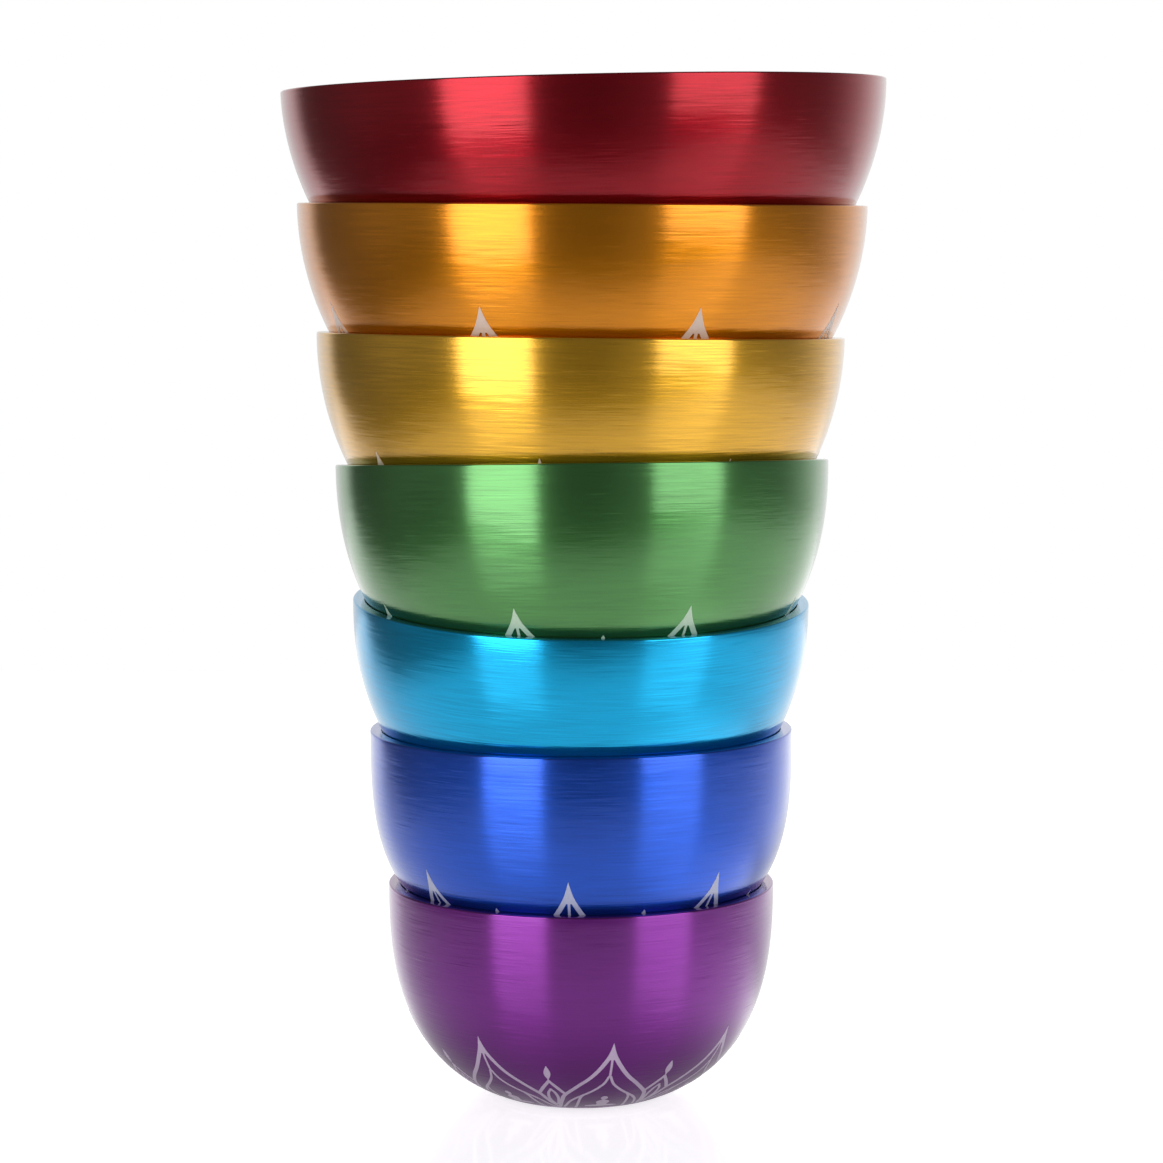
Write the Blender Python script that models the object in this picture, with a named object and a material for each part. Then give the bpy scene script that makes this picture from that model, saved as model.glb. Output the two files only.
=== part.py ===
"""A nested set of seven anodised aluminium singing bowls.

Each bowl is turned from one piece of metal. The smallest stands on its flat foot, and every larger bowl
rests in the mouth of the one below it, where its round wall can rock a little on the lip.
"""

import math
from typing import NamedTuple

import bmesh
import bpy

# Driving dimensions, in millimetres
MM = 0.001
WALL = 3.0  # thickness of the metal
LIP_ROUND = 0.8  # radius on the lip's outer and inner edge
FOOT_SHARE = 0.4  # radius of the flat foot, as a share of the bowl's radius
SEAT_GAP = 0.3  # clearance between a wall and the lip that it rests on

# How finely the turned surfaces are divided
SEGMENTS = 40
WALL_STEPS = 10
LIP_STEPS = 2
SEAT_HALVINGS = 40
WELD = 0.00001
SHARP_ANGLE = math.radians(35)

# Anodised finish
METALLIC = 1.0
ROUGHNESS = 0.35


class Bowl(NamedTuple):
    """One bowl's sizes in millimetres, and how it leans in the mouth of the bowl below, in degrees."""

    name: str
    diameter: float
    height: float
    fullness: float  # 2 is an ellipse, more is a straighter wall over a tighter turn into the foot
    lean_front: float  # the side facing -Y sinks
    lean_right: float  # the side facing +X sinks
    colour: tuple


# From the bottom of the stack to the top
BOWLS = (
    Bowl("violet_bowl", 98.0, 54.5, 2.6, 0.0, 0.0, (0.17, 0.022, 0.25)),
    Bowl("blue_bowl", 107.0, 53.0, 3.1, 0.3, -0.2, (0.015, 0.05, 0.50)),
    Bowl("sky_blue_bowl", 115.0, 57.0, 2.25, 4.3, 0.9, (0.010, 0.34, 0.68)),
    Bowl("green_bowl", 123.5, 62.0, 2.2, -7.1, -1.4, (0.045, 0.27, 0.06)),
    Bowl("yellow_bowl", 132.0, 64.0, 2.0, 2.8, 1.4, (0.58, 0.36, 0.025)),
    Bowl("orange_bowl", 142.0, 66.0, 1.95, 1.7, -0.4, (0.66, 0.25, 0.010)),
    Bowl("red_bowl", 150.0, 67.0, 1.9, 0.3, -1.6, (0.45, 0.012, 0.022)),
)


def foot_turn(bowl):
    """Angle along the wall's curve at which it has narrowed to the foot."""
    return math.acos(FOOT_SHARE ** (bowl.fullness / 2))


def curve_depth(bowl):
    """Depth at which the wall's curve would close, somewhat below the flat foot."""
    return bowl.height / math.sin(foot_turn(bowl)) ** (2 / bowl.fullness)


def wall_at(bowl, turn):
    """Outer wall at an angle along its curve: radius, depth under the lip, and the normal, out and down."""
    radius = bowl.diameter / 2
    depth = curve_depth(bowl)
    across = math.cos(turn) ** (2 / bowl.fullness)
    along = math.sin(turn) ** (2 / bowl.fullness)
    out = across ** (bowl.fullness - 1) / radius
    down = along ** (bowl.fullness - 1) / depth
    length = math.hypot(out, down)
    return radius * across, depth * along, out / length, down / length


def lip_arc(centre_radius, centre_height, start):
    """Points over a quarter turn of a lip edge, without the first, which the wall or the lip's top gives."""
    points = []
    for step in range(1, LIP_STEPS + 1):
        angle = start + step / LIP_STEPS * math.pi / 2
        points.append((centre_radius + LIP_ROUND * math.cos(angle), centre_height + LIP_ROUND * math.sin(angle)))
    return points


def bowl_profile(bowl):
    """Half section as radius and height over the foot: out along the foot, up the wall, over the lip, and in."""
    radius = bowl.diameter / 2
    lip_turn = math.asin((LIP_ROUND / curve_depth(bowl)) ** (bowl.fullness / 2))
    outside = []
    inside = []
    for step in range(WALL_STEPS + 1):
        turn = lip_turn + (foot_turn(bowl) - lip_turn) * step / WALL_STEPS
        wall_radius, depth, out, down = wall_at(bowl, turn)
        outside.append((wall_radius, bowl.height - depth))
        inside.append((wall_radius - WALL * out, bowl.height - depth + WALL * down))
    edge_height = bowl.height - LIP_ROUND
    outer_edge = lip_arc(radius - LIP_ROUND, edge_height, 0.0)
    inner_edge = lip_arc(radius - WALL + LIP_ROUND, edge_height, math.pi / 2)
    top = (radius - WALL + LIP_ROUND, bowl.height)
    foot_middle = (0.0, 0.0)
    floor_middle = (0.0, inside[-1][1])
    return [foot_middle, *reversed(outside), *outer_edge, top, *inner_edge, *inside[1:], floor_middle]


def turned_mesh(name, profile):
    """The half section spun about +Z into one closed body."""
    body = bmesh.new()
    corners = [body.verts.new((radius * MM, 0.0, height * MM)) for radius, height in profile]
    edges = [body.edges.new(pair) for pair in zip(corners, corners[1:])]
    bmesh.ops.spin(
        body,
        geom=corners + edges,
        axis=(0.0, 0.0, 1.0),
        cent=(0.0, 0.0, 0.0),
        angle=math.tau,
        steps=SEGMENTS,
        use_merge=True,
    )
    bmesh.ops.remove_doubles(body, verts=body.verts, dist=WELD)
    bmesh.ops.recalc_face_normals(body, faces=body.faces)
    mesh = bpy.data.meshes.new(name)
    body.to_mesh(mesh)
    body.free()
    mesh.shade_smooth()
    mesh.set_sharp_from_angle(angle=SHARP_ANGLE)
    return mesh


def anodised(bowl):
    """Dyed aluminium in the bowl's own colour."""
    material = bpy.data.materials.new(bowl.name + "_anodised")
    material.use_nodes = True
    shader = material.node_tree.nodes["Principled BSDF"]
    shader.inputs["Base Color"].default_value = (*bowl.colour, 1.0)
    shader.inputs["Metallic"].default_value = METALLIC
    shader.inputs["Roughness"].default_value = ROUGHNESS
    return material


def seat_on(bowl, below):
    """Where a bowl sits in the lip below: its foot and its rocking centre, as heights over the lower foot.

    The wall rests on the rounded inner edge of the lip. The normals there meet on the axis, and a bowl that
    rocks about that point keeps its clearance all round.
    """
    edge_radius = below.diameter / 2 - WALL + LIP_ROUND
    edge_height = below.height - LIP_ROUND
    reach = LIP_ROUND + SEAT_GAP
    upper, lower = 0.0, foot_turn(bowl)
    for _ in range(SEAT_HALVINGS):
        turn = (upper + lower) / 2
        radius, depth, out, down = wall_at(bowl, turn)
        if radius + reach * out > edge_radius:
            upper = turn
        else:
            lower = turn
    lip_height = edge_height + depth + reach * down
    rocking_height = edge_height + edge_radius * down / out
    return lip_height - bowl.height, rocking_height


def add_empty(name, parent, height):
    """A plain guide on the axis of what carries it."""
    guide = bpy.data.objects.new(name, None)
    guide.empty_display_size = 10 * MM
    guide.location = (0.0, 0.0, height * MM)
    guide.parent = parent
    bpy.context.scene.collection.objects.link(guide)
    return guide


def add_bowl(bowl, seat, foot_height):
    """The bowl itself, with its foot this far above its seat's guide."""
    made = bpy.data.objects.new(bowl.name, turned_mesh(bowl.name, bowl_profile(bowl)))
    made.data.materials.append(anodised(bowl))
    made.location = (0.0, 0.0, foot_height * MM)
    made.parent = seat
    bpy.context.scene.collection.objects.link(made)
    return made


def build_stack():
    """The whole stack, each bowl on a rocking guide that the bowl below carries."""
    below = BOWLS[0]
    carrier = add_bowl(below, add_empty("table", None, 0.0), 0.0)
    for bowl in BOWLS[1:]:
        foot_height, rocking_height = seat_on(bowl, below)
        seat = add_empty(bowl.name + "_seat", carrier, rocking_height)
        seat.rotation_euler = (math.radians(bowl.lean_front), math.radians(bowl.lean_right), 0.0)
        carrier = add_bowl(bowl, seat, foot_height - rocking_height)
        below = bowl


for existing in list(bpy.data.objects):
    bpy.data.objects.remove(existing, do_unlink=True)
build_stack()
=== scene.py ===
"""The looks of a nested set of seven anodised aluminium singing bowls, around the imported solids.

Every bowl is turned from one piece of metal, brushed round its axis, dyed, and etched with a border of lotus
petals low on its wall. Sizes here are in millimetres and angles in degrees, and the meshes are in metres.
"""

import math
from typing import NamedTuple

import bpy
from mathutils import Euler, Matrix, Vector


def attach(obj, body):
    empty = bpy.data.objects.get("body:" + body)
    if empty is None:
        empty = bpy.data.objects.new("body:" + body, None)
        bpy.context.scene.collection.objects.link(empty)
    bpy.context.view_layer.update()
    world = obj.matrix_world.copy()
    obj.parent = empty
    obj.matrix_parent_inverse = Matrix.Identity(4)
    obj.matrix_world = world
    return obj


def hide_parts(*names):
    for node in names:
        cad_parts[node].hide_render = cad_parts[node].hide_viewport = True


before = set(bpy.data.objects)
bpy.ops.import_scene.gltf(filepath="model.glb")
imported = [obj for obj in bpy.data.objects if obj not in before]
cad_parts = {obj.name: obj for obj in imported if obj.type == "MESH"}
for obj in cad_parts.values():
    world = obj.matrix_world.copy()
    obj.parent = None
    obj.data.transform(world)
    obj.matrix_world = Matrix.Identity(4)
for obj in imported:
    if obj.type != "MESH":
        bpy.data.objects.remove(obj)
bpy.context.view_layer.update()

MM = 0.001

# Turned metal, as in the solids
WALL = 3.0  # thickness of the metal
LIP_ROUND = 0.8  # radius of the solids' lip edges, which seat the bowl above
FOOT_SHARE = 0.4  # radius of the flat foot, as a share of the bowl's radius
SEAT_GAP = 0.3  # clearance between a wall and the lip that it rests on
SEAT_HALVINGS = 40

# Edges and corners as they look: the lip's edges are crisper than in the solids, and two corners that the
# solids leave sharp are softened, this far from the corner
LIP_EDGE = 0.4
FOOT_ROUND = 2.5
FLOOR_ROUND = 9.0

# How finely the turned surfaces are divided
SEGMENTS = 240
OUTER_STEPS = 64
INNER_STEPS = 40
LIP_STEPS = 6
ROUND_STEPS = 6
FLAT_RINGS = (0.05, 0.2, 0.4, 0.6, 0.8)  # shares of the way across the foot and the floor inside
WELD = 0.01


class Bowl(NamedTuple):
    """One bowl: its solid's sizes and leans, its dye, its border of petals and its finish."""

    body: str
    diameter: float
    height: float
    fullness: float  # 2 is an ellipse, more is a straighter wall over a tighter turn into the foot
    lean_front: float  # the side facing the camera sinks
    lean_right: float  # the side on the camera's right sinks
    dye: tuple
    tip_reach: float  # from the foot's middle, along the metal, to the tips of the petals
    petal_stretch: float  # length of the petals against those of the smallest bowl
    petal_turn: float  # how far right of the front one tip stands
    brush_along: float  # how far the brushing spreads a highlight up and down the wall
    seal_ior: float  # of the clear sealed layer over the dye
    marked: float  # how strongly the brush marks show


# From the bottom of the stack to the top
BOWLS = (
    Bowl("violet", 98.0, 54.5, 2.6, 0.0, 0.0, (0.172, 0.017, 0.232), 54.4, 1.0, 10.4, 0.19, 1.33, 0.4),
    Bowl("blue", 107.0, 53.0, 3.1, 0.3, -0.2, (0.010, 0.080, 0.54), 60.5, 1.2, -3.6, 0.14, 1.36, 0.8),
    Bowl("sky_blue", 115.0, 57.0, 2.25, 4.3, 0.9, (0.004, 0.385, 0.71), 62.4, 1.1, 12.0, 0.04, 1.25, 1.1),
    Bowl("green", 123.5, 62.0, 2.2, -7.1, -1.4, (0.068, 0.245, 0.058), 66.8, 1.05, -17.3, 0.10, 1.5, 1.0),
    Bowl("yellow", 132.0, 64.0, 2.0, 2.8, 1.4, (0.745, 0.392, 0.014), 76.9, 1.1, -8.6, 0.10, 1.5, 1.2),
    Bowl("orange", 142.0, 66.0, 1.95, 1.7, -0.4, (0.68, 0.232, 0.001), 86.9, 1.25, -20.5, 0.10, 1.36, 0.9),
    Bowl("red", 150.0, 67.0, 1.9, 0.3, -1.6, (0.32, 0.003, 0.012), 82.0, 1.15, 4.0, 0.10, 1.33, 1.0),
)

# Etched border
PETALS = 8
HALF_PITCH = 180.0 / PETALS
ETCH_LIFT = 0.03  # how far the etched film stands over the metal, so that it is never buried
ETCH_SINK = 0.05  # how far its underside lies in the metal
ETCH_TIER = 0.0008  # each stroke lies this much over the one before, so that no two share a face
STROKE_DETAIL = 4  # steps from one point of a stroke to the next
STROKE_CUTS = 1  # cuts across its width
SHARP_ANGLE = 40.0  # an edge that turns more than this is left sharp

# Strokes of one petal: degrees right of its middle, drop below its tip along the metal, and half the width
FLANK = (
    (0.0, 0.0, 0.03),
    (0.19, 1.2, 0.22),
    (0.45, 2.6, 0.45),
    (0.95, 4.0, 0.57),
    (1.7, 5.3, 0.62),
    (4.2, 8.5, 0.58),
    (6.9, 11.2, 0.55),
    (11.6, 14.7, 0.53),
    (16.9, 18.8, 0.54),
    (18.8, 21.8, 0.55),
    (20.2, 24.8, 0.50),
    (22.4, 29.5, 0.40),
)
INNER_OUTLINE = (
    (0.3, 10.9, 0.34),
    (1.5, 13.4, 0.36),
    (3.0, 15.0, 0.36),
    (6.2, 17.3, 0.36),
    (10.1, 19.5, 0.36),
    (13.3, 21.4, 0.36),
    (16.2, 24.0, 0.34),
    (19.8, 29.0, 0.30),
)
INNER_FOLD = (
    (9.0, 18.9, 0.22),
    (10.6, 20.6, 0.33),
    (11.4, 22.8, 0.35),
    (12.3, 26.0, 0.35),
    (13.6, 29.8, 0.32),
)
ARCH = (
    (22.6, 12.7, 0.42),
    (19.8, 15.6, 0.48),
    (17.0, 18.6, 0.45),
)
DROP = (
    (22.8, 16.2, 0.30),
    (21.2, 18.0, 0.36),
    (20.5, 20.6, 0.38),
    (20.9, 23.2, 0.36),
    (22.3, 26.6, 0.28),
)
TIP = (
    (0.0, 0.6, 0.10),
    (0.0, 2.6, 0.50),
    (0.0, 4.2, 0.80),
    (0.0, 5.2, 0.80),
)
STEM = (
    (0.0, 4.8, 0.33),
    (0.0, 8.0, 0.32),
    (0.0, 11.3, 0.36),
)
BUD = (
    (HALF_PITCH, 13.4, 0.20),
    (HALF_PITCH, 12.0, 0.22),
    (HALF_PITCH, 11.0, 0.70),
    (HALF_PITCH, 9.9, 0.95),
    (HALF_PITCH, 8.7, 0.72),
    (HALF_PITCH, 7.3, 0.06),
)
HEAD = (
    (0.0, 20.2, 0.20),
    (0.0, 20.6, 0.72),
    (0.0, 21.2, 0.92),
    (0.0, 21.8, 0.72),
    (0.0, 22.3, 0.34),
    (0.0, 22.7, 0.34),
)
TRUNK = (
    (0.0, 22.5, 0.36),
    (0.0, 23.2, 1.40),
    (0.0, 24.1, 1.70),
    (0.0, 25.5, 1.30),
    (0.0, 26.9, 1.25),
)
LEGS = (
    (-8.5, 27.4, 0.22),
    (-5.0, 27.3, 0.62),
    (0.0, 27.3, 0.80),
    (5.0, 27.3, 0.62),
    (8.5, 27.4, 0.22),
)
RINGS = ((30.6, 0.38), (31.9, 0.20))  # plain rings that close the border below, with half their widths
RING_ANGLES = (0.0, 7.5, 15.0, 22.6)

# Brushed and dyed metal
METAL_SHARE = 0.88  # the rest is light scattered in the dyed layer
BRUSH_AROUND = 0.036  # how far the brushing spreads a highlight round the bowl
FULL_ANISOTROPY = 0.9  # the shader's anisotropy of 1 narrows a highlight by this share
LIP_ROUGHNESS = 0.11  # the lip is cut smooth after the brushing
LIP_BLEND = 0.15  # how far from the lip's ends the brushing fades
SEAL_ROUGHNESS = 0.16
NOISE_ROUGHNESS = 0.6


class Marks(NamedTuple):
    """Brush marks: their length round the bowl, spacing along the metal, detail, and place in the noise."""

    length: float
    pitch: float
    detail: float
    shift: float


HAIRLINES = Marks(12.0, 0.06, 1.0, 0.0)
SCRATCHES = Marks(14.0, 0.3, 1.0, 7.0)
LATHE_LINES = Marks(150.0, 0.7, 2.0, 19.0)
WAVER = Marks(25.0, 0.5, 1.0, 27.0)
HAIR_GAIN = 4.0
HAIR_POWER = 3.0  # most hairlines lie nearly flat and few tilt far
HAIR_TILT = 1.8  # against the spread along the wall
SCRATCH_TILT = 0.15
SCRATCH_SHADE = 0.5
LATHE_TILT = 0.025
LATHE_SHADE = 0.04
WAVER_TILT = 0.02

# Etched film
ETCH_PALE = 0.76
ETCH_TINT = 0.33  # how far the dye shows in the etched lines
ETCH_METAL = 0.25
ETCH_ROUGHNESS = 0.65
ETCH_SHEEN = 0.4
ETCH_SHEEN_ROUGHNESS = 0.4
ETCH_SEAL_IOR = 1.5
ETCH_SEAL_ROUGHNESS = 0.25
GRAINS = 2200.0  # in a metre
GRAIN_DETAIL = 2.0
GRAIN_SHADE = 0.22
GRAIN_ROUGHNESS = 0.2
GRAIN_BUMP = 0.25
GRAIN_DEPTH = 0.05

# The view of the photograph, in its 1163 pixel square
IMAGE_PIXELS = 1163
FOCAL_PIXELS = 2974.0
SENSOR = 36.0
CAMERA_PLACE = (0.1, -750.0, 197.5)
CAMERA_DOWN = 5.08

# Pale floor
FLOOR_EDGES = (-1100.0, 1100.0, -420.0, 900.0)  # left, right, front and back
FLOOR_COLOUR = 0.8
FLOOR_GLOW = 0.75  # what the camera sees of it round the stack, besides its own shading
FLOOR_WHITE = 1.0  # and away from the stack
FLOOR_IOR = 2.1
FLOOR_ROUGHNESS = 0.12

# How bright the metal sees the floor: painted light and painted shade that the floor gives off in
# reflections, in place of its real lighting
FLOOR_FAR = 0.08  # outside the lit part
FLOOR_NEAR = 0.85  # in the lit part
FLOOR_RIGHT = 0.12  # painted light added in its right half
FLOOR_BESIDE = 0.5  # painted light added in a patch close to the stack on the right
FLOOR_SHADE = -0.3  # painted shade in place of that at the back of the patch, where the stack shades it
FLOOR_BACK = 0.84  # painted shade: share of the lit part's light that is left behind the stack
FLOOR_UNDER = 0.4  # painted shade: share of all light that is left under the stack

# Where the floor's painted light and painted shade change, from one place to another
LIT_FRONT = (-500.0, -200.0)
LIT_LEFT = (-470.0, -230.0)
LIT_RIGHT = (450.0, 1100.0)
LIT_BACK = (100.0, 300.0)
SLANT_START = 100.0  # from here back, the lit part's left limit runs off to the left
LEFT_SLANT = 0.7
RIGHT_HALF = (0.0, 200.0)
PATCH_LEFT = (30.0, 80.0)
PATCH_RIGHT = (130.0, 220.0)
PATCH_FRONT = (-150.0, -60.0)
PATCH_SHADE = (20.0, 80.0)
UNDER_STACK = (30.0, 90.0)  # out from the axis
AWAY_FROM_STACK = (250.0, 600.0)

# How bright the metal sees the room
DARK_ROOM = 0.10
ROOM_GLOW = 0.12  # added on both sides
BACKDROP = 0.8
CEILING = 0.12

# Where the room changes, in degrees round from the camera, to the right
BACKDROP_LEFT = (-144.0, -130.0)
BACKDROP_RIGHT = (98.0, 146.0)
GLOW_SIDES = (5.0, 30.0)  # to either side
GLOW_LEFT = (-120.0, -85.0)
CEILING_RISE = (0.3, 0.5)  # how steeply a direction rises


class Softbox(NamedTuple):
    """An upright lamp panel that faces the stack."""

    name: str
    azimuth: float  # round from the camera, to the right
    distance: float
    width: float
    bottom: float
    top: float
    brightness: float


SOFTBOXES = (
    Softbox("left_softbox", -36.4, 1400.0, 813.0, -400.0, 1000.0, 3.4),
    Softbox("right_softbox", 49.1, 1400.0, 860.0, -110.0, 1000.0, 2.5),
)


# Node trees


def add(tree, kind, inputs=None, **settings):
    """A new node with its settings and inputs filled; an input is a plain value or another node's output."""
    node = tree.nodes.new(kind)
    for name, value in settings.items():
        setattr(node, name, value)
    for name, value in (inputs or {}).items():
        fill(tree, node.inputs[name], value)
    return node


def fill(tree, socket, value):
    """Links a socket to an output, or sets it to a value."""
    if isinstance(value, bpy.types.NodeSocket):
        tree.links.new(value, socket)
    else:
        socket.default_value = value


def calc(tree, operation, *values):
    """A math node's result."""
    node = add(tree, "ShaderNodeMath", operation=operation)
    for socket, value in zip(node.inputs, values):
        fill(tree, socket, value)
    return node.outputs[0]


def vector(tree, operation, *values):
    """A vector math node's result."""
    node = add(tree, "ShaderNodeVectorMath", operation=operation)
    for socket, value in zip(node.inputs, values):
        fill(tree, socket, value)
    return node.outputs[0]


def scaled(tree, direction, amount):
    """A direction times a number."""
    inputs = {"Vector": direction, "Scale": amount}
    return add(tree, "ShaderNodeVectorMath", inputs, operation="SCALE").outputs[0]


def product(tree, first, *others):
    """Numbers multiplied."""
    for other in others:
        first = calc(tree, "MULTIPLY", first, other)
    return first


def split(tree, value):
    """The three parts of a vector."""
    return add(tree, "ShaderNodeSeparateXYZ", {"Vector": value}).outputs


def combine(tree, x, y, z):
    """A vector from its three parts."""
    return add(tree, "ShaderNodeCombineXYZ", {"X": x, "Y": y, "Z": z}).outputs[0]


def ramp(tree, value, limits, low, high):
    """A smooth step from low to high as a value goes from the first limit to the second."""
    start, end = limits
    inputs = {"Value": value, "From Min": start, "From Max": end, "To Min": low, "To Max": high}
    return add(tree, "ShaderNodeMapRange", inputs, interpolation_type="SMOOTHSTEP").outputs[0]


def metres(limits):
    """Limits in millimetres as metres."""
    return tuple(limit * MM for limit in limits)


def radians(limits):
    """Limits in degrees as radians."""
    return tuple(math.radians(limit) for limit in limits)


def new_tree(name, inputs):
    """An empty geometry tree, and the outputs of its group input by name."""
    tree = bpy.data.node_groups.new(name, "GeometryNodeTree")
    for label, kind in inputs.items():
        tree.interface.new_socket(label, in_out="INPUT", socket_type="NodeSocket" + kind)
    tree.interface.new_socket("Geometry", in_out="OUTPUT", socket_type="NodeSocketGeometry")
    return tree, tree.nodes.new("NodeGroupInput").outputs


def end_tree(tree, geometry, material):
    """Realizes, paints and hands out a tree's geometry."""
    real = add(tree, "GeometryNodeRealizeInstances", {"Geometry": geometry}).outputs[0]
    painted = add(tree, "GeometryNodeSetMaterial", {"Geometry": real, "Material": material}).outputs[0]
    add(tree, "NodeGroupOutput", {"Geometry": painted})


def grown(name, tree, values):
    """Runs a tree with these values and keeps its result as a plain mesh object."""
    piece = bpy.data.objects.new(name, bpy.data.meshes.new(name))
    bpy.context.scene.collection.objects.link(piece)
    modifier = piece.modifiers.new(tree.name, "NODES")
    modifier.node_group = tree
    for item in tree.interface.items_tree:
        if item.in_out == "INPUT":
            modifier[item.identifier] = values[item.name]
    graph = bpy.context.evaluated_depsgraph_get()
    evaluated = piece.evaluated_get(graph)
    mesh = bpy.data.meshes.new_from_object(evaluated, preserve_all_data_layers=True, depsgraph=graph)
    piece.modifiers.remove(modifier)
    blank = piece.data
    piece.data = mesh
    bpy.data.meshes.remove(blank)
    mesh.name = name
    return piece


def guide(name, lines):
    """A curve object of straight runs through points (x, y, z, radius), for a tree to read."""
    curve = bpy.data.curves.new(name, "CURVE")
    curve.dimensions = "3D"
    for points in lines:
        spline = curve.splines.new("POLY")
        spline.points.add(len(points) - 1)
        for point, (x, y, z, radius) in zip(spline.points, points):
            point.co = (x, y, z, 1.0)
            point.radius = radius
    made = bpy.data.objects.new(name, curve)
    bpy.context.scene.collection.objects.link(made)
    return made


# Shape of a bowl


def foot_turn(bowl):
    """Angle along the wall's curve at which it has narrowed to the foot."""
    return math.acos(FOOT_SHARE ** (bowl.fullness / 2))


def curve_depth(bowl):
    """Depth at which the wall's curve would close, somewhat below the flat foot."""
    return bowl.height / math.sin(foot_turn(bowl)) ** (2 / bowl.fullness)


def wall_at(bowl, turn):
    """Outer wall at an angle along its curve: radius, depth under the lip, and the normal, out and down."""
    radius = bowl.diameter / 2
    depth = curve_depth(bowl)
    across = math.cos(turn) ** (2 / bowl.fullness)
    along = math.sin(turn) ** (2 / bowl.fullness)
    out = across ** (bowl.fullness - 1) / radius
    down = along ** (bowl.fullness - 1) / depth
    length = math.hypot(out, down)
    return radius * across, depth * along, out / length, down / length


def wall_turns(bowl, steps):
    """Angles along the wall's curve, from the lip's rounded edge to the foot."""
    lip_turn = math.asin((LIP_EDGE / curve_depth(bowl)) ** (bowl.fullness / 2))
    return [lip_turn + (foot_turn(bowl) - lip_turn) * step / steps for step in range(steps + 1)]


def outer_wall(bowl):
    """Points up the outside, from the foot to the lip."""
    points = []
    for turn in reversed(wall_turns(bowl, OUTER_STEPS)):
        radius, depth, _, _ = wall_at(bowl, turn)
        points.append(Vector((radius, bowl.height - depth)))
    return points


def inner_wall(bowl):
    """Points down the inside, from the lip to the floor."""
    points = []
    for turn in wall_turns(bowl, INNER_STEPS)[1:]:
        radius, depth, out, down = wall_at(bowl, turn)
        points.append(Vector((radius - WALL * out, bowl.height - depth + WALL * down)))
    return points


def lip_arc(centre_radius, centre_height, start):
    """Points over a quarter turn of a lip edge, without the first, which the wall or the lip's top gives."""
    points = []
    for step in range(1, LIP_STEPS + 1):
        angle = start + step / LIP_STEPS * math.pi / 2
        across = centre_radius + LIP_EDGE * math.cos(angle)
        points.append(Vector((across, centre_height + LIP_EDGE * math.sin(angle))))
    return points


def flat_rings(edge, shares):
    """Points across a flat, at these shares of the way from its middle to its edge."""
    return [Vector((edge.x * share, edge.y)) for share in shares]


def eased(before, corner, after, reach):
    """Two runs of points joined by a curve in place of the corner between them."""
    before = [point for point in before if (point - corner).length > reach]
    after = [point for point in after if (point - corner).length > reach]
    start = corner + (before[-1] - corner).normalized() * reach
    end = corner + (after[0] - corner).normalized() * reach
    bend = []
    for step in range(ROUND_STEPS + 1):
        share = step / ROUND_STEPS
        bend.append(start.lerp(corner, share).lerp(corner.lerp(end, share), share))
    return [*before, *bend, *after]


def half_section(bowl):
    """Radius and height from the foot's middle up the outside, over the lip, and down to the floor inside."""
    outer_edge = bowl.diameter / 2 - LIP_EDGE
    inner_edge = bowl.diameter / 2 - WALL + LIP_EDGE
    edge_height = bowl.height - LIP_EDGE
    outside = outer_wall(bowl)
    inside = inner_wall(bowl)
    foot = flat_rings(outside[0], (0.0, *FLAT_RINGS))
    floor = flat_rings(inside[-1], (*reversed(FLAT_RINGS), 0.0))
    lip = [
        *lip_arc(outer_edge, edge_height, 0.0),
        Vector((inner_edge, bowl.height)),
        *lip_arc(inner_edge, edge_height, math.pi / 2),
    ]
    outer = eased(foot, outside[0], outside[1:], FOOT_ROUND)
    inner = eased(inside[:-1], inside[-1], floor, FLOOR_ROUND)
    return outer, lip, inner


def run_length(points):
    """Length of a run of points."""
    return sum((end - start).length for start, end in zip(points, points[1:]))


def lip_run(bowl):
    """Where the lip starts and ends along the metal, from the foot's middle."""
    outer, lip, _ = half_section(bowl)
    start = run_length(outer)
    return start, start + run_length([outer[-1], *lip])


def seat_on(bowl, below):
    """Where a bowl sits in the lip below: its foot and its rocking centre, as heights over the lower foot."""
    edge_radius = below.diameter / 2 - WALL + LIP_ROUND
    edge_height = below.height - LIP_ROUND
    reach = LIP_ROUND + SEAT_GAP
    upper, lower = 0.0, foot_turn(bowl)
    for _ in range(SEAT_HALVINGS):
        turn = (upper + lower) / 2
        radius, depth, out, down = wall_at(bowl, turn)
        if radius + reach * out > edge_radius:
            upper = turn
        else:
            lower = turn
    lip_height = edge_height + depth + reach * down
    rocking_height = edge_height + edge_radius * down / out
    return lip_height - bowl.height, rocking_height


def raised(height):
    """A move straight up."""
    return Matrix.Translation((0.0, 0.0, height * MM))


def stack_places():
    """Each bowl's place in the stack, with its lean in the mouth below."""
    places = [Matrix.Identity(4)]
    for below, bowl in zip(BOWLS, BOWLS[1:]):
        foot_height, rocking_height = seat_on(bowl, below)
        lean = Euler(radians((bowl.lean_front, bowl.lean_right, 0.0))).to_matrix().to_4x4()
        places.append(places[-1] @ raised(rocking_height) @ lean @ raised(foot_height - rocking_height))
    return places


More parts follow.
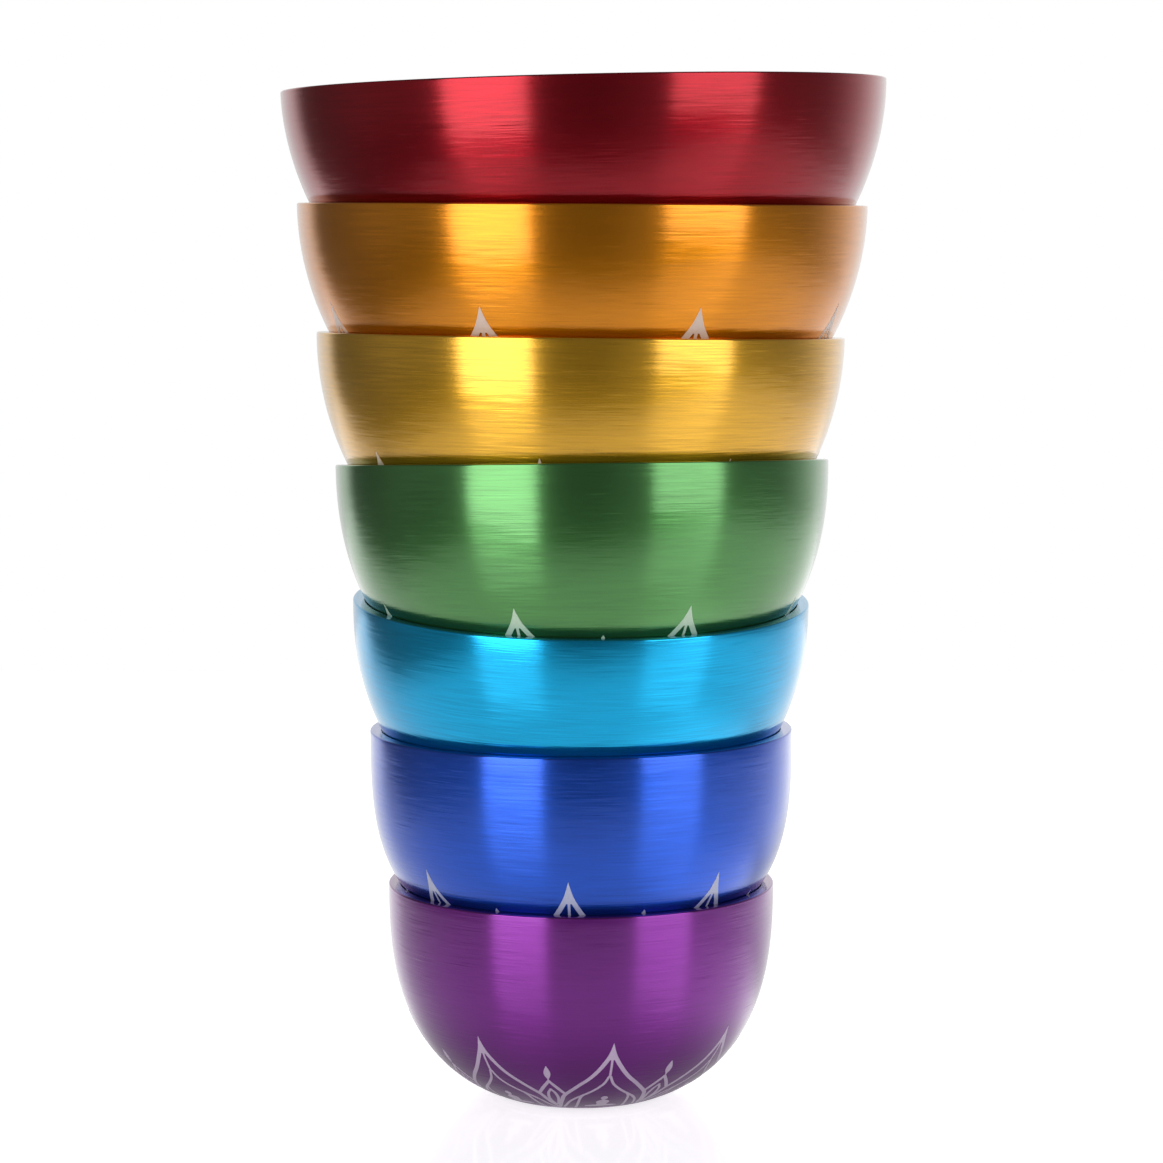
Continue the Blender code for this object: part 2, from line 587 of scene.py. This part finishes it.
def turned_bowl_tree():
    """Spins a half section about +Z, and keeps the direction round the axis and the run along the metal."""
    tree, given = new_tree("turned_bowl", {"Section": "Object", "Segments": "Int", "Metal": "Material"})
    section = add(tree, "GeometryNodeObjectInfo", {"Object": given["Section"]}).outputs["Geometry"]
    size = add(tree, "GeometryNodeAttributeDomainSize", {"Geometry": section}, component="CURVE")
    rows = size.outputs["Point Count"]
    columns = calc(tree, "ADD", given["Segments"], 1.0)
    sheet = {"Size X": 1.0, "Size Y": 1.0, "Vertices X": columns, "Vertices Y": rows}
    grid = add(tree, "GeometryNodeMeshGrid", sheet).outputs["Mesh"]

    # The sheet is one by one about its middle: X goes round the bowl and Y along its section
    position = tree.nodes.new("GeometryNodeInputPosition").outputs[0]
    flat = split(tree, position)
    share = calc(tree, "ADD", flat["X"], 0.5)
    row_share = calc(tree, "ADD", flat["Y"], 0.5)
    last_row = calc(tree, "SUBTRACT", rows, 1.0)
    row = calc(tree, "ROUND", calc(tree, "MULTIPLY", row_share, last_row))
    angle = calc(tree, "MULTIPLY_ADD", share, math.tau, math.pi)
    right = calc(tree, "SINE", angle)
    back = calc(tree, "MULTIPLY", calc(tree, "COSINE", angle), -1.0)
    point = split(tree, at_row(tree, section, position, row, "FLOAT_VECTOR"))
    along = tree.nodes.new("GeometryNodeSplineParameter").outputs["Length"]
    run = at_row(tree, section, along, row, "FLOAT")

    marked = kept(tree, grid, "turning", combine(tree, right, back, run), "FLOAT_VECTOR", "POINT")
    marked = kept(tree, marked, "brushing", combine(tree, run, share, 0.0), "FLOAT2", "CORNER")
    across = calc(tree, "MULTIPLY", point["X"], right)
    depth = calc(tree, "MULTIPLY", point["X"], back)
    spun = combine(tree, across, depth, point["Z"])
    bent = add(tree, "GeometryNodeSetPosition", {"Geometry": marked, "Position": spun}).outputs[0]
    closed = add(tree, "GeometryNodeMergeByDistance", {"Geometry": bent, "Distance": WELD * MM}).outputs[0]
    soft = {"Geometry": closed, "Shade Smooth": True}
    end_tree(tree, add(tree, "GeometryNodeSetShadeSmooth", soft).outputs[0], given["Metal"])
    return tree


def at_row(tree, section, value, row, kind):
    """A value of the section at one of its points."""
    inputs = {"Geometry": section, "Value": value, "Index": row}
    return add(tree, "GeometryNodeSampleIndex", inputs, data_type=kind, domain="POINT").outputs[0]


def kept(tree, geometry, name, value, kind, domain):
    """The mesh with a named attribute stored on it."""
    inputs = {"Geometry": geometry, "Name": name, "Value": value}
    return add(tree, "GeometryNodeStoreNamedAttribute", inputs, data_type=kind, domain=domain).outputs[0]


# Etched border of petals


def drawn(name, strokes):
    """A guide of strokes, with x as the angle and y as the drop below the tip."""
    lines = []
    for stroke in strokes:
        lines.append([(math.radians(angle), drop * MM, 0.0, half * MM) for angle, drop, half in stroke])
    return guide(name, lines)


def ring_stroke(drop, half_width):
    """Half a petal's share of a plain ring round the bowl."""
    return tuple((angle, drop, half_width) for angle in RING_ANGLES)


def petal_border_tree():
    """Draws one petal flat as a fan about the foot's middle, repeats it round, and wraps it on the wall."""
    inputs = {
        "Sides": "Object",
        "Middle": "Object",
        "Section": "Object",
        "Petals": "Int",
        "Tip Reach": "Float",
        "Stretch": "Float",
        "Widen": "Float",
        "Turn": "Float",
        "Line Colour": "Vector",
        "Etched Metal": "Material",
    }
    tree, given = new_tree("petal_border", inputs)
    sides = fanned(tree, given, "Sides")
    mirror = {"Geometry": sides, "Scale": (-1.0, 1.0, 1.0)}
    other_sides = add(tree, "GeometryNodeTransform", mirror).outputs[0]
    join = tree.nodes.new("GeometryNodeJoinGeometry")
    for part in (sides, other_sides, fanned(tree, given, "Middle")):
        tree.links.new(part, join.inputs[0])
    film = ribbons(tree, join.outputs[0], given["Widen"])

    index = tree.nodes.new("GeometryNodeInputIndex").outputs[0]
    pitch = calc(tree, "DIVIDE", math.tau, given["Petals"])
    azimuth = calc(tree, "MULTIPLY_ADD", index, pitch, given["Turn"])
    euler = combine(tree, 0.0, 0.0, calc(tree, "MULTIPLY", azimuth, -1.0))
    turn = add(tree, "FunctionNodeEulerToRotation", {"Euler": euler}).outputs[0]
    points = add(tree, "GeometryNodePoints", {"Count": given["Petals"]}).outputs[0]
    placed = {"Points": points, "Instance": film, "Rotation": turn}
    fan = add(tree, "GeometryNodeInstanceOnPoints", placed).outputs[0]
    fan = add(tree, "GeometryNodeRealizeInstances", {"Geometry": fan}).outputs[0]
    section = add(tree, "GeometryNodeObjectInfo", {"Object": given["Section"]}).outputs["Geometry"]
    border = crisp(tree, wrapped(tree, fan, section))
    border = kept(tree, border, "line_colour", given["Line Colour"], "FLOAT_VECTOR", "POINT")
    end_tree(tree, border, given["Etched Metal"])
    return tree


def fanned(tree, given, name):
    """The strokes of a guide, smoothed, laid out flat about the foot's middle with the petal along +Y."""
    strokes = add(tree, "GeometryNodeObjectInfo", {"Object": given[name]}).outputs["Geometry"]
    curve = {"Curve": strokes}
    smooth = add(tree, "GeometryNodeCurveSplineType", curve, spline_type="CATMULL_ROM").outputs[0]
    detail = {"Geometry": smooth, "Resolution": STROKE_DETAIL}
    smooth = add(tree, "GeometryNodeSetSplineResolution", detail).outputs[0]
    place = split(tree, tree.nodes.new("GeometryNodeInputPosition").outputs[0])
    drop = calc(tree, "MULTIPLY", place["Y"], given["Stretch"])
    reach = calc(tree, "SUBTRACT", given["Tip Reach"], drop)
    across = calc(tree, "MULTIPLY", reach, calc(tree, "SINE", place["X"]))
    along = calc(tree, "MULTIPLY", reach, calc(tree, "COSINE", place["X"]))
    fan = combine(tree, across, along, 0.0)
    return add(tree, "GeometryNodeSetPosition", {"Geometry": smooth, "Position": fan}).outputs[0]


def ribbons(tree, strokes, widen):
    """Closed flat ribbons along the strokes, all of about the same thickness."""
    level = add(tree, "GeometryNodeSetCurveNormal", {"Curve": strokes}, mode="Z_UP").outputs[0]
    # The band is two wide, so its scale is half the stroke's width
    band = add(tree, "GeometryNodeCurvePrimitiveQuadrilateral", {"Width": 2.0, "Height": 2.0}).outputs[0]
    band = add(tree, "GeometryNodeSubdivideCurve", {"Curve": band, "Cuts": STROKE_CUTS}).outputs[0]
    half_width = calc(tree, "MULTIPLY", tree.nodes.new("GeometryNodeInputRadius").outputs[0], widen)
    sweep = {"Curve": level, "Profile Curve": band, "Scale": half_width, "Fill Caps": True}
    swept = add(tree, "GeometryNodeCurveToMesh", sweep).outputs[0]
    place = split(tree, tree.nodes.new("GeometryNodeInputPosition").outputs[0])
    stroke = tree.nodes.new("GeometryNodeInputMeshIsland").outputs["Island Index"]
    top = calc(tree, "GREATER_THAN", place["Z"], 0.0)
    lift = calc(tree, "MULTIPLY_ADD", stroke, ETCH_TIER * MM, (ETCH_LIFT + ETCH_SINK) * MM)
    height = calc(tree, "MULTIPLY_ADD", top, lift, -ETCH_SINK * MM)
    flat = combine(tree, place["X"], place["Y"], height)
    return add(tree, "GeometryNodeSetPosition", {"Geometry": swept, "Position": flat}).outputs[0]


def wrapped(tree, fan, section):
    """The flat fan laid on the outside of the bowl: reach runs along the metal, and height stands off it."""
    place = split(tree, tree.nodes.new("GeometryNodeInputPosition").outputs[0])
    flat = combine(tree, place["X"], place["Y"], 0.0)
    reach = add(tree, "ShaderNodeVectorMath", {"Vector": flat}, operation="LENGTH").outputs["Value"]
    azimuth = calc(tree, "ARCTAN2", place["X"], place["Y"])
    sample = {"Curves": section, "Length": reach}
    wall = add(tree, "GeometryNodeSampleCurve", sample, mode="LENGTH").outputs
    point = split(tree, wall["Position"])
    direction = split(tree, wall["Tangent"])
    radius = calc(tree, "MULTIPLY_ADD", place["Z"], direction["Z"], point["X"])
    height = calc(tree, "SUBTRACT", point["Z"], calc(tree, "MULTIPLY", place["Z"], direction["X"]))
    across = calc(tree, "MULTIPLY", radius, calc(tree, "SINE", azimuth))
    front = calc(tree, "MULTIPLY", radius, calc(tree, "COSINE", azimuth))
    laid = combine(tree, across, calc(tree, "MULTIPLY", front, -1.0), height)
    return add(tree, "GeometryNodeSetPosition", {"Geometry": fan, "Position": laid}).outputs[0]


def crisp(tree, mesh):
    """Smooth faces with sharp edges where they turn hard."""
    angle = tree.nodes.new("GeometryNodeInputMeshEdgeAngle").outputs["Unsigned Angle"]
    soft = calc(tree, "LESS_THAN", angle, math.radians(SHARP_ANGLE))
    inputs = {"Geometry": mesh, "Shade Smooth": soft}
    return add(tree, "GeometryNodeSetShadeSmooth", inputs, domain="EDGE").outputs[0]


# Finishes


def new_material(name):
    """A material with its tree and its principled shader."""
    material = bpy.data.materials.new(name)
    material.use_nodes = True
    return material, material.node_tree, material.node_tree.nodes["Principled BSDF"]


def streaks(tree, bowl, turning, marks):
    """Noise drawn out round the bowl, from 0 to 1."""
    around = bowl.diameter / 2 / marks.length
    stretch = vector(tree, "MULTIPLY", turning, (around, around, 1.0 / (marks.pitch * MM)))
    moved = vector(tree, "ADD", stretch, (marks.shift, 0.0, 0.0))
    inputs = {"Vector": moved, "Scale": 1.0, "Detail": marks.detail, "Roughness": NOISE_ROUGHNESS}
    return add(tree, "ShaderNodeTexNoise", inputs).outputs["Fac"]


def swing(tree, noise, strength):
    """Noise as a swing about zero."""
    return calc(tree, "MULTIPLY", calc(tree, "SUBTRACT", noise, 0.5), strength)


def wall_share(tree, bowl, run):
    """1 on the brushed walls and 0 on the lip."""
    start, end = lip_run(bowl)
    outside = ramp(tree, run, metres((start - LIP_BLEND, start + LIP_BLEND)), 1.0, 0.0)
    inside = ramp(tree, run, metres((end - LIP_BLEND, end + LIP_BLEND)), 0.0, 1.0)
    return calc(tree, "ADD", outside, inside)


def brushed_roughness(bowl):
    """The shader's roughness, whose fourth power is the spread along the wall times the spread round it."""
    return (bowl.brush_along * BRUSH_AROUND) ** (1 / 4)


def brushed_anisotropy(bowl):
    """The shader's anisotropy, from the spread round the bowl against the spread along the wall."""
    return (1.0 - BRUSH_AROUND / bowl.brush_along) / FULL_ANISOTROPY


def anodised(bowl):
    """Dyed aluminium, brushed round the axis: highlights run along the wall and stay narrow round it."""
    material, tree, shader = new_material(bowl.body + "_anodised")
    turning = add(tree, "ShaderNodeAttribute", attribute_name="turning").outputs["Vector"]
    brushed = wall_share(tree, bowl, split(tree, turning)["Z"])
    hairs = streaks(tree, bowl, turning, HAIRLINES)
    scratches = streaks(tree, bowl, turning, SCRATCHES)
    lathe = streaks(tree, bowl, turning, LATHE_LINES)
    waver = streaks(tree, bowl, turning, WAVER)

    along = add(tree, "ShaderNodeTangent", direction_type="UV_MAP", uv_map="brushing").outputs[0]
    normal = tree.nodes.new("ShaderNodeNewGeometry").outputs["Normal"]
    around = vector(tree, "CROSS_PRODUCT", normal, along)
    up_tilt = calc(tree, "POWER", swing(tree, hairs, HAIR_GAIN), HAIR_POWER)
    up_tilt = calc(tree, "MULTIPLY", up_tilt, HAIR_TILT * bowl.brush_along)
    up_tilt = calc(tree, "ADD", up_tilt, swing(tree, scratches, SCRATCH_TILT * bowl.marked))
    up_tilt = calc(tree, "ADD", up_tilt, swing(tree, lathe, LATHE_TILT))
    up_tilt = calc(tree, "MULTIPLY", up_tilt, brushed)
    bent = vector(tree, "ADD", normal, scaled(tree, along, up_tilt))
    bent = vector(tree, "ADD", bent, scaled(tree, around, swing(tree, waver, WAVER_TILT)))
    bent = vector(tree, "NORMALIZE", bent)
    fill(tree, shader.inputs["Normal"], bent)
    fill(tree, shader.inputs["Coat Normal"], bent)
    fill(tree, shader.inputs["Tangent"], along)

    shade = calc(tree, "ADD", swing(tree, scratches, SCRATCH_SHADE * bowl.marked), 1.0)
    shade = calc(tree, "ADD", shade, swing(tree, lathe, LATHE_SHADE))
    fill(tree, shader.inputs["Base Color"], scaled(tree, bowl.dye, shade))
    rougher = brushed_roughness(bowl) - LIP_ROUGHNESS
    fill(tree, shader.inputs["Roughness"], calc(tree, "MULTIPLY_ADD", brushed, rougher, LIP_ROUGHNESS))
    shader.inputs["Metallic"].default_value = METAL_SHARE
    shader.inputs["Specular IOR Level"].default_value = 0.0
    shader.inputs["Anisotropic"].default_value = brushed_anisotropy(bowl)
    shader.inputs["Coat Weight"].default_value = 1.0
    shader.inputs["Coat IOR"].default_value = bowl.seal_ior
    shader.inputs["Coat Roughness"].default_value = SEAL_ROUGHNESS
    return material


def line_colour(bowl):
    """Pale bare metal with a little of the bowl's dye in it."""
    strongest = max(bowl.dye)
    return tuple(ETCH_PALE * (1.0 - ETCH_TINT + ETCH_TINT * part / strongest) for part in bowl.dye)


def etched():
    """Bare metal where the dyed layer is etched away: pale, finely grained, and sealed as the rest is."""
    material, tree, shader = new_material("etched_line")
    place = tree.nodes.new("ShaderNodeTexCoord").outputs["Object"]
    inputs = {"Vector": place, "Scale": GRAINS, "Detail": GRAIN_DETAIL, "Roughness": NOISE_ROUGHNESS}
    grain = add(tree, "ShaderNodeTexNoise", inputs).outputs["Fac"]
    shade = calc(tree, "ADD", swing(tree, grain, GRAIN_SHADE), 1.0)
    colour = add(tree, "ShaderNodeAttribute", attribute_name="line_colour").outputs["Vector"]
    fill(tree, shader.inputs["Base Color"], scaled(tree, colour, shade))
    rough = calc(tree, "ADD", swing(tree, grain, GRAIN_ROUGHNESS), ETCH_ROUGHNESS)
    fill(tree, shader.inputs["Roughness"], rough)
    bump = {"Height": grain, "Strength": GRAIN_BUMP, "Distance": GRAIN_DEPTH * MM}
    fill(tree, shader.inputs["Normal"], add(tree, "ShaderNodeBump", bump).outputs[0])
    shader.inputs["Metallic"].default_value = ETCH_METAL
    shader.inputs["Sheen Weight"].default_value = ETCH_SHEEN
    shader.inputs["Sheen Roughness"].default_value = ETCH_SHEEN_ROUGHNESS
    shader.inputs["Coat Weight"].default_value = 1.0
    shader.inputs["Coat IOR"].default_value = ETCH_SEAL_IOR
    shader.inputs["Coat Roughness"].default_value = ETCH_SEAL_ROUGHNESS
    return material


# The stack


def section_line(bowl):
    """A half section as a guide's line in the XZ plane, in metres."""
    outer, lip, inner = half_section(bowl)
    return [(point.x * MM, 0.0, point.y * MM, 1.0) for point in (*outer, *lip, *inner)]


def make_stack():
    """Every bowl and its border, riding on the bowl's body."""
    turn_tree = turned_bowl_tree()
    border_tree = petal_border_tree()
    etch = etched()
    rings = [ring_stroke(*ring) for ring in RINGS]
    sides = drawn("petal_sides", (FLANK, INNER_OUTLINE, INNER_FOLD, ARCH, DROP, *rings))
    middle = drawn("petal_middle", (TIP, STEM, BUD, HEAD, TRUNK, LEGS))
    for bowl, place in zip(BOWLS, stack_places()):
        section = guide(bowl.body + "_section", [section_line(bowl)])
        metal = {"Section": section, "Segments": SEGMENTS, "Metal": anodised(bowl)}
        body = grown(bowl.body + "_turned", turn_tree, metal)
        border = {
            "Sides": sides,
            "Middle": middle,
            "Section": section,
            "Petals": PETALS,
            "Tip Reach": bowl.tip_reach * MM,
            "Stretch": bowl.petal_stretch,
            "Widen": bowl.tip_reach / BOWLS[0].tip_reach,
            "Turn": math.radians(bowl.petal_turn),
            "Line Colour": line_colour(bowl),
            "Etched Metal": etch,
        }
        petals = grown(bowl.body + "_petals", border_tree, border)
        for piece in (body, petals):
            piece.data.transform(place)
            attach(piece, bowl.body)
        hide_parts(bowl.body + "_bowl")
        bpy.data.objects.remove(section)
    bpy.data.objects.remove(sides)
    bpy.data.objects.remove(middle)


# Studio


def painted_floor_light(tree, place, distance):
    """How bright the metal sees the floor at a place on it, this far from the stack's axis: painted light in
    pools and in a patch beside the stack, and painted shade behind and under the stack.
    """
    behind = calc(tree, "MAXIMUM", calc(tree, "SUBTRACT", place["Y"], SLANT_START * MM), 0.0)
    from_left = calc(tree, "MULTIPLY_ADD", behind, LEFT_SLANT, place["X"])
    # Painted pools of light, with painted shade behind the stack
    lit = product(
        tree,
        ramp(tree, place["Y"], metres(LIT_FRONT), 0.0, 1.0),
        ramp(tree, from_left, metres(LIT_LEFT), 0.0, 1.0),
        ramp(tree, place["X"], metres(LIT_RIGHT), 1.0, 0.0),
        ramp(tree, place["Y"], metres(LIT_BACK), 1.0, FLOOR_BACK),
    )
    # Painted light in a patch beside the stack, with painted shade at its back
    patch = product(
        tree,
        ramp(tree, place["Y"], metres(PATCH_SHADE), FLOOR_BESIDE, FLOOR_SHADE),
        ramp(tree, place["X"], metres(PATCH_LEFT), 0.0, 1.0),
        ramp(tree, place["X"], metres(PATCH_RIGHT), 1.0, 0.0),
        ramp(tree, place["Y"], metres(PATCH_FRONT), 0.0, 1.0),
    )
    gain = FLOOR_NEAR - FLOOR_FAR
    near = ramp(tree, place["X"], metres(RIGHT_HALF), gain, gain + FLOOR_RIGHT)
    seen = calc(tree, "MULTIPLY_ADD", lit, calc(tree, "ADD", near, patch), FLOOR_FAR)
    # Painted shade under the stack
    return product(tree, seen, ramp(tree, distance, metres(UNDER_STACK), FLOOR_UNDER, 1.0))


def pale_floor():
    """White to the camera, with the stack's shadow; in the metal's view its own colour is dropped and it
    glows with painted light and painted shade.
    """
    material, tree, shader = new_material("pale_floor")
    path = tree.nodes.new("ShaderNodeLightPath").outputs
    place = split(tree, tree.nodes.new("ShaderNodeTexCoord").outputs["Object"])
    outward = {"Vector": combine(tree, place["X"], place["Y"], 0.0)}
    distance = add(tree, "ShaderNodeVectorMath", outward, operation="LENGTH").outputs["Value"]
    # In reflections the floor glows with painted light and painted shade
    painted_light = calc(tree, "MULTIPLY", path["Is Glossy Ray"], painted_floor_light(tree, place, distance))
    shown = ramp(tree, distance, metres(AWAY_FROM_STACK), FLOOR_GLOW, FLOOR_WHITE)
    glow = calc(tree, "MULTIPLY_ADD", path["Is Camera Ray"], shown, painted_light)
    fill(tree, shader.inputs["Emission Strength"], glow)
    shader.inputs["Emission Color"].default_value = (1.0, 1.0, 1.0, 1.0)
    # In reflections the floor's own colour is dropped, so that only the painted light and shade show there
    shade = calc(tree, "MULTIPLY_ADD", path["Is Glossy Ray"], -FLOOR_COLOUR, FLOOR_COLOUR)
    fill(tree, shader.inputs["Base Color"], combine(tree, shade, shade, shade))
    shader.inputs["Roughness"].default_value = FLOOR_ROUGHNESS
    shader.inputs["IOR"].default_value = FLOOR_IOR
    return material


def add_floor():
    """The table that the stack stands on."""
    left, right, front, back = metres(FLOOR_EDGES)
    mesh = bpy.data.meshes.new("floor")
    corners = [(left, front, 0.0), (right, front, 0.0), (right, back, 0.0), (left, back, 0.0)]
    mesh.from_pydata(corners, [], [(0, 1, 2, 3)])
    made = bpy.data.objects.new("floor", mesh)
    bpy.context.scene.collection.objects.link(made)
    mesh.materials.append(pale_floor())


def add_studio_world():
    """A white backdrop behind the stack and a dark room in front; the camera sees white all round."""
    world = bpy.data.worlds.new("studio")
    bpy.context.scene.world = world
    world.use_nodes = True
    tree = world.node_tree
    tree.nodes.clear()
    direction = split(tree, tree.nodes.new("ShaderNodeTexCoord").outputs["Generated"])
    azimuth = calc(tree, "ARCTAN2", direction["X"], calc(tree, "MULTIPLY", direction["Y"], -1.0))
    left = ramp(tree, azimuth, radians(BACKDROP_LEFT), 1.0, 0.0)
    right = ramp(tree, azimuth, radians(BACKDROP_RIGHT), 0.0, 1.0)
    behind = calc(tree, "MAXIMUM", left, right)
    sides = ramp(tree, calc(tree, "ABSOLUTE", azimuth), radians(GLOW_SIDES), 0.0, ROOM_GLOW)
    glow = product(tree, sides, ramp(tree, azimuth, radians(GLOW_LEFT), 0.0, 1.0))
    level = calc(tree, "MULTIPLY_ADD", behind, BACKDROP - DARK_ROOM, DARK_ROOM)
    level = calc(tree, "ADD", level, glow)
    overhead = ramp(tree, direction["Z"], CEILING_RISE, 0.0, 1.0)
    level = calc(tree, "MULTIPLY_ADD", overhead, calc(tree, "SUBTRACT", CEILING, level), level)
    seen = tree.nodes.new("ShaderNodeLightPath").outputs["Is Camera Ray"]
    level = calc(tree, "MAXIMUM", level, seen)
    shine = add(tree, "ShaderNodeBackground", {"Strength": level}).outputs[0]
    shine.node.inputs["Color"].default_value = (1.0, 1.0, 1.0, 1.0)
    add(tree, "ShaderNodeOutputWorld", {"Surface": shine})


def add_softbox(panel):
    """A lamp panel at its place."""
    lamp = bpy.data.lights.new(panel.name, "AREA")
    lamp.shape = "RECTANGLE"
    lamp.size = panel.width * MM
    lamp.size_y = (panel.top - panel.bottom) * MM
    lamp.energy = panel.brightness * math.pi * lamp.size * lamp.size_y
    made = bpy.data.objects.new(panel.name, lamp)
    bpy.context.scene.collection.objects.link(made)
    azimuth = math.radians(panel.azimuth)
    outward = Vector((math.sin(azimuth), -math.cos(azimuth), 0.0))
    middle = Vector((0.0, 0.0, (panel.top + panel.bottom) / 2))
    made.location = (outward * panel.distance + middle) * MM
    made.rotation_euler = (-outward).to_track_quat("-Z", "Y").to_euler()
    made.visible_camera = False


def add_camera():
    """The photograph's view."""
    data = bpy.data.cameras.new("camera")
    data.sensor_width = SENSOR
    data.lens = SENSOR * FOCAL_PIXELS / IMAGE_PIXELS
    made = bpy.data.objects.new("camera", data)
    bpy.context.scene.collection.objects.link(made)
    made.location = Vector(CAMERA_PLACE) * MM
    made.rotation_euler = (math.radians(90.0 - CAMERA_DOWN), 0.0, 0.0)
    bpy.context.scene.camera = made


make_stack()
add_floor()
add_studio_world()
for softbox in SOFTBOXES:
    add_softbox(softbox)
add_camera()
bpy.context.scene.view_settings.view_transform = "Standard"
